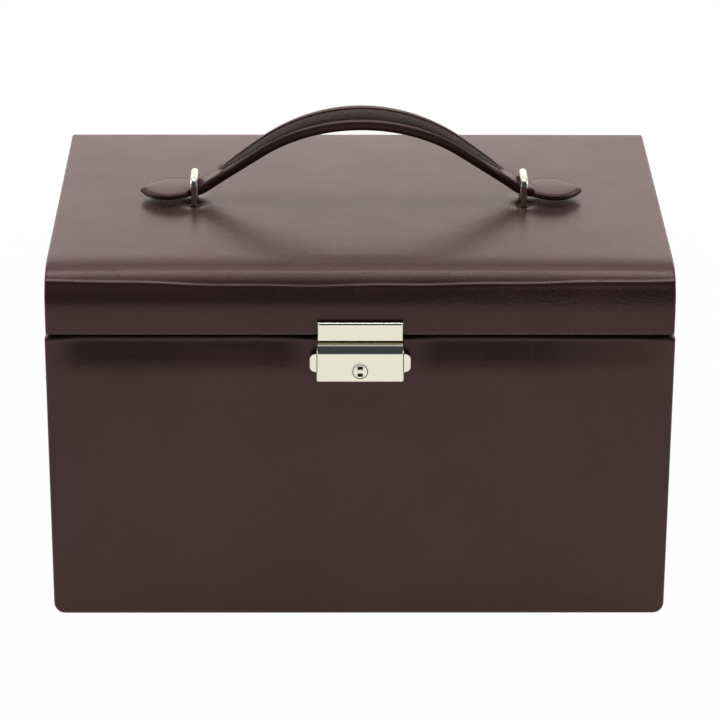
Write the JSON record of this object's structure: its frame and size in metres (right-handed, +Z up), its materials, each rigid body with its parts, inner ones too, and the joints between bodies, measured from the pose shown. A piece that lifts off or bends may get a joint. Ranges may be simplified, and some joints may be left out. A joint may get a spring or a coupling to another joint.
{
  "type": "jewelry case",
  "caption": "Leather covered jewelry box with a hinged padded lid, push-down lock, carrying handle held in metal loops, a mirror in the lid and a sliding till.",
  "frame": {"origin": "centre of the underside of the base, where it stands", "axes": "+X to the right along the front, +Y towards the rear hinge, +Z up; the lock faces -Y"},
  "size_m": [0.265, 0.1842, 0.2005],
  "materials": {
    "case_leather": "smooth, semi-gloss, dark burgundy brown",
    "handle_leather": "smooth, semi-gloss",
    "inlay_leather": "fine pebbled grain, satin",
    "bottom_cloth": "woven book cloth, matt",
    "lining": "short pile velour, matt",
    "foam": "soft foam, matt",
    "board": "plain ply",
    "rail_wood": "planed, oiled",
    "mirror": "silvered glass",
    "nickel": "polished nickel",
    "dark_nickel": "tarnished nickel",
    "hinge_steel": "nickel plated, satin",
    "lock_steel": "zinc plated",
    "spring_steel": "bright",
    "screw_steel": "bright"
  },
  "bodies": {
    "base": {"base_front_leather": "case_leather", "base_right_leather": "case_leather", "base_rear_leather": "case_leather", "base_left_leather": "case_leather", "base_bottom_cloth": "bottom_cloth", "base_front_padding": "foam", "base_front_board": "board", "base_rear_board": "board", "base_side_boards": "board", "base_bottom_board": "board", "base_floor_lining": "lining", "base_front_lining": "lining", "base_rear_lining": "lining", "base_side_linings": "lining", "long_divider": "lining", "cross_dividers": "lining", "bracelet_rolls": "lining", "tray_rails": "rail_wood", "hinge_base_leaf": "hinge_steel", "hinge_pin": "hinge_steel", "hinge_base_screws": "screw_steel", "lock_cover": "nickel", "lock_back_plate": "lock_steel", "catch_pins": "lock_steel", "lock_springs": "spring_steel", "lock_screws": "screw_steel"},
    "lid": {"lid_leather": "case_leather", "lid_left_leather": "case_leather", "lid_right_leather": "case_leather", "lid_padding": "foam", "lid_top_board": "board", "lid_front_rail": "board", "lid_rear_rail": "board", "lid_side_rails": "board", "lid_wall_linings": "lining", "lid_lining_panel": "lining", "lid_mirror": "mirror", "mirror_frame": "case_leather", "hinge_lid_leaf": "hinge_steel", "hinge_lid_screws": "screw_steel", "hasp_plate": "nickel", "hasp_rivets": "nickel", "handle_loops": "nickel", "loop_collars": "dark_nickel", "clinch_plates": "lock_steel"},
    "handle": {"handle_lower_strap": "handle_leather", "handle_core": "board", "handle_upper_strap": "handle_leather", "handle_inlay": "inlay_leather"},
    "slider": {"lock_slider": "nickel"},
    "catch_left": {"catch_left": "lock_steel"},
    "catch_right": {"catch_right": "lock_steel"},
    "key_plug": {"key_plug": "nickel"},
    "tray": {"tray_long_walls": "lining", "tray_short_walls": "lining", "tray_base": "board", "tray_floor_pad": "lining", "tray_dividers": "lining", "ring_rolls": "lining", "tray_pull_tab": "case_leather"}
  },
  "joints": [
    {"name": "lid_hinge", "type": "hinge", "parent": "base", "child": "lid", "pos_m": [0, 0.0893, 0.1311], "axis": [-1, 0, 0], "range_deg": [0, 95]},
    {"name": "handle_lift", "type": "slide", "parent": "lid", "child": "handle", "axis": [0, 0, 1], "range_m": [0, 0.001]},
    {"name": "lock_slide", "type": "slide", "parent": "base", "child": "slider", "axis": [0, 0, -1], "range_m": [0, 0.003], "stiffness_N_per_m": 300, "deforming": ["lock_springs"]},
    {"name": "catch_right_pivot", "type": "hinge", "parent": "base", "child": "catch_right", "pos_m": [0.0095, 0, 0.1168], "axis": [0, 1, 0], "range_deg": [0, 25.5]},
    {"name": "catch_left_pivot", "type": "hinge", "parent": "base", "child": "catch_left", "pos_m": [-0.0095, 0, 0.1168], "axis": [0, -1, 0], "range_deg": [0, 25.5]},
    {"name": "key_turn", "type": "hinge", "parent": "base", "child": "key_plug", "pos_m": [0, 0, 0.1167], "axis": [0, 1, 0], "range_deg": [0, 90]},
    {"name": "tray_slide", "type": "slide", "parent": "base", "child": "tray", "axis": [0, -1, 0], "range_m": [0, 0.06]}
  ],
  "couplings": [
    {"joint": "catch_right_pivot", "follows": "lock_slide", "rad_per_m": 145},
    {"joint": "catch_left_pivot", "follows": "lock_slide", "rad_per_m": 145}
  ]
}
